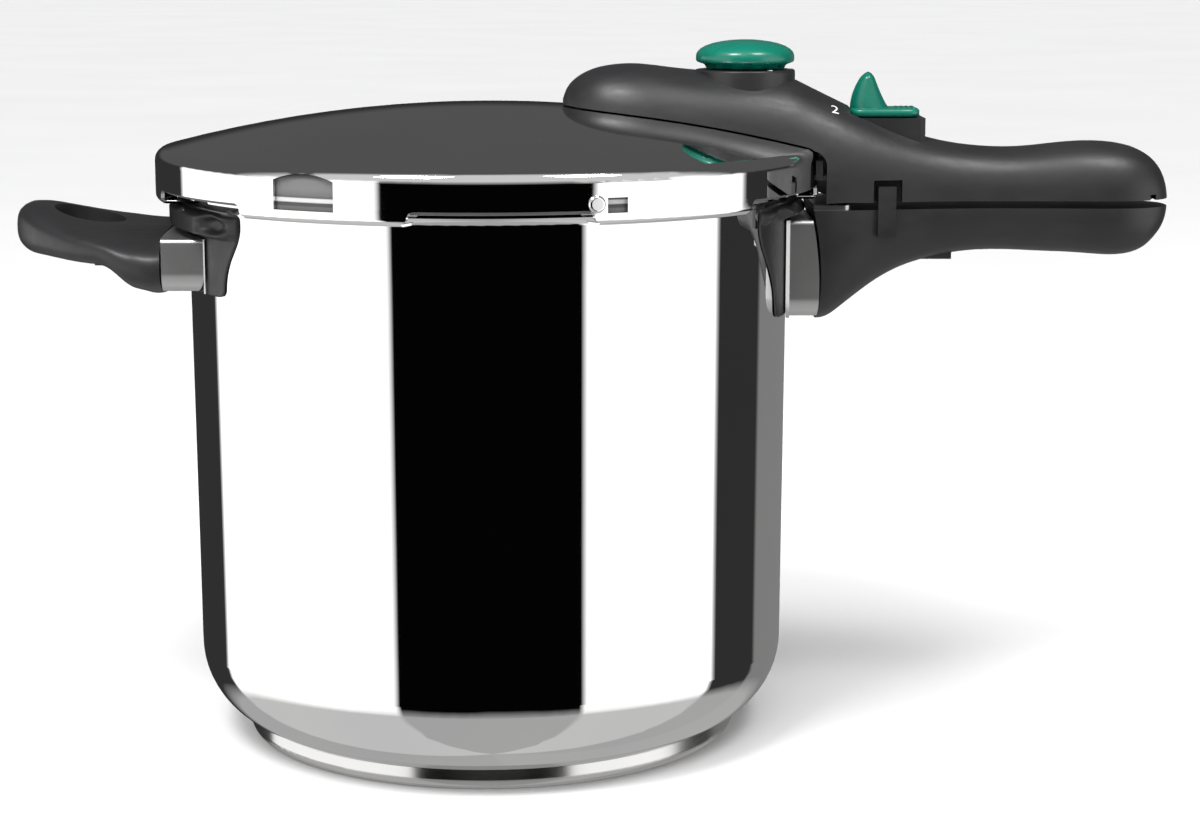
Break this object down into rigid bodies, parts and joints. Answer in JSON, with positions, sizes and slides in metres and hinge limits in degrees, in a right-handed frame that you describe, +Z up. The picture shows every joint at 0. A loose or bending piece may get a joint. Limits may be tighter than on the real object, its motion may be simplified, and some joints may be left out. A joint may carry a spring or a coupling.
{
  "type": "stovetop pressure cooker",
  "caption": "Tall stovetop pressure cooker with a bayonet lid, paired long handles, a helper handle, a selector knob and a sliding lid lock.",
  "frame": {"origin": "the pot's axis at the underside of its base", "axes": "+Z up along the pot's axis, +X towards the two long handles, -Y towards the side with the stop tab"},
  "size_m": [0.4278, 0.2452, 0.2587],
  "materials": {
    "polished_steel": "mirror polished stainless steel",
    "lid_steel": "mirror polished stainless steel",
    "ferrule_steel": "polished stainless steel, fine line finish",
    "base_steel": "spun stainless steel",
    "aluminium_core": "plain",
    "bracket_steel": "pressed stainless steel",
    "black_phenolic": "moulded, soft satin",
    "silicone": "moulded silicone, satin",
    "valve_brass": "turned",
    "turned_steel": "turned stainless steel",
    "spring_wire": "drawn wire",
    "fastener_steel": "zinc bright",
    "green_plastic": "moulded, semi-gloss"
  },
  "bodies": {
    "pot": {"pot_shell": "polished_steel", "base_core": "aluminium_core", "base_cap": "base_steel", "pot_handle_bracket": "bracket_steel", "pot_handle_pad": "black_phenolic", "pot_handle_ferrule": "ferrule_steel", "pot_handle_grip": "black_phenolic", "pot_handle_screw": "fastener_steel", "pot_latch_plate": "bracket_steel", "latch_plate_screws": "fastener_steel", "helper_bracket": "bracket_steel", "helper_pad": "black_phenolic", "helper_ferrule": "ferrule_steel", "helper_grip": "black_phenolic", "helper_screws": "fastener_steel"},
    "gasket": {"lid_gasket": "silicone"},
    "lid": {"lid_shell": "lid_steel", "lid_handle_shell": "black_phenolic", "lid_handle_cover": "black_phenolic", "lid_handle_bracket": "bracket_steel", "lid_handle_screws": "fastener_steel", "cover_screws": "fastener_steel", "nose_screw": "fastener_steel", "nose_screw_washer": "silicone", "regulator_body": "valve_brass", "regulator_seal": "silicone", "regulator_nut": "valve_brass", "regulator_filter": "turned_steel", "regulator_spring": "spring_wire", "safety_body": "valve_brass", "safety_seal": "silicone", "safety_nut": "valve_brass", "safety_cap": "valve_brass", "safety_spring": "spring_wire", "indicator_bush": "valve_brass", "indicator_nut": "valve_brass"},
    "regulator_valve": {"regulator_plunger": "valve_brass"},
    "safety_valve": {"safety_plunger": "valve_brass"},
    "indicator": {"indicator_pin": "turned_steel", "indicator_seal": "silicone"},
    "knob": {"selector_knob": "green_plastic", "knob_spindle": "turned_steel"},
    "lock": {"lock_slider": "green_plastic", "lock_bar": "bracket_steel", "lock_rivet": "fastener_steel"}
  },
  "joints": [
    {"name": "lid_lift", "type": "slide", "parent": "pot", "child": "gasket", "axis": [0, 0, 1], "range_m": [0, 0.12]},
    {"name": "lid_turn", "type": "hinge", "parent": "gasket", "child": "lid", "pos_m": [0, 0, 0.21], "axis": [0, 0, 1], "range_deg": [0, 30]},
    {"name": "selector_turn", "type": "hinge", "parent": "lid", "child": "knob", "pos_m": [0.095, 0, 0.25], "axis": [0, 0, 1], "range_deg": [-120, 0]},
    {"name": "lock_slide", "type": "slide", "parent": "lid", "child": "lock", "axis": [1, 0, 0], "range_m": [0, 0.006]},
    {"name": "regulator_lift", "type": "slide", "parent": "lid", "child": "regulator_valve", "axis": [0, 0, 1], "range_m": [0, 0.0015], "stiffness_N_per_m": 400, "springref_m": -0.005, "deforming": ["regulator_spring"]},
    {"name": "safety_lift", "type": "slide", "parent": "lid", "child": "safety_valve", "axis": [0, 0, 1], "range_m": [0, 0.001], "stiffness_N_per_m": 600, "springref_m": -0.0045, "deforming": ["safety_spring"]},
    {"name": "indicator_lift", "type": "slide", "parent": "lid", "child": "indicator", "axis": [0, 0, 1], "range_m": [0, 0.0028]}
  ]
}
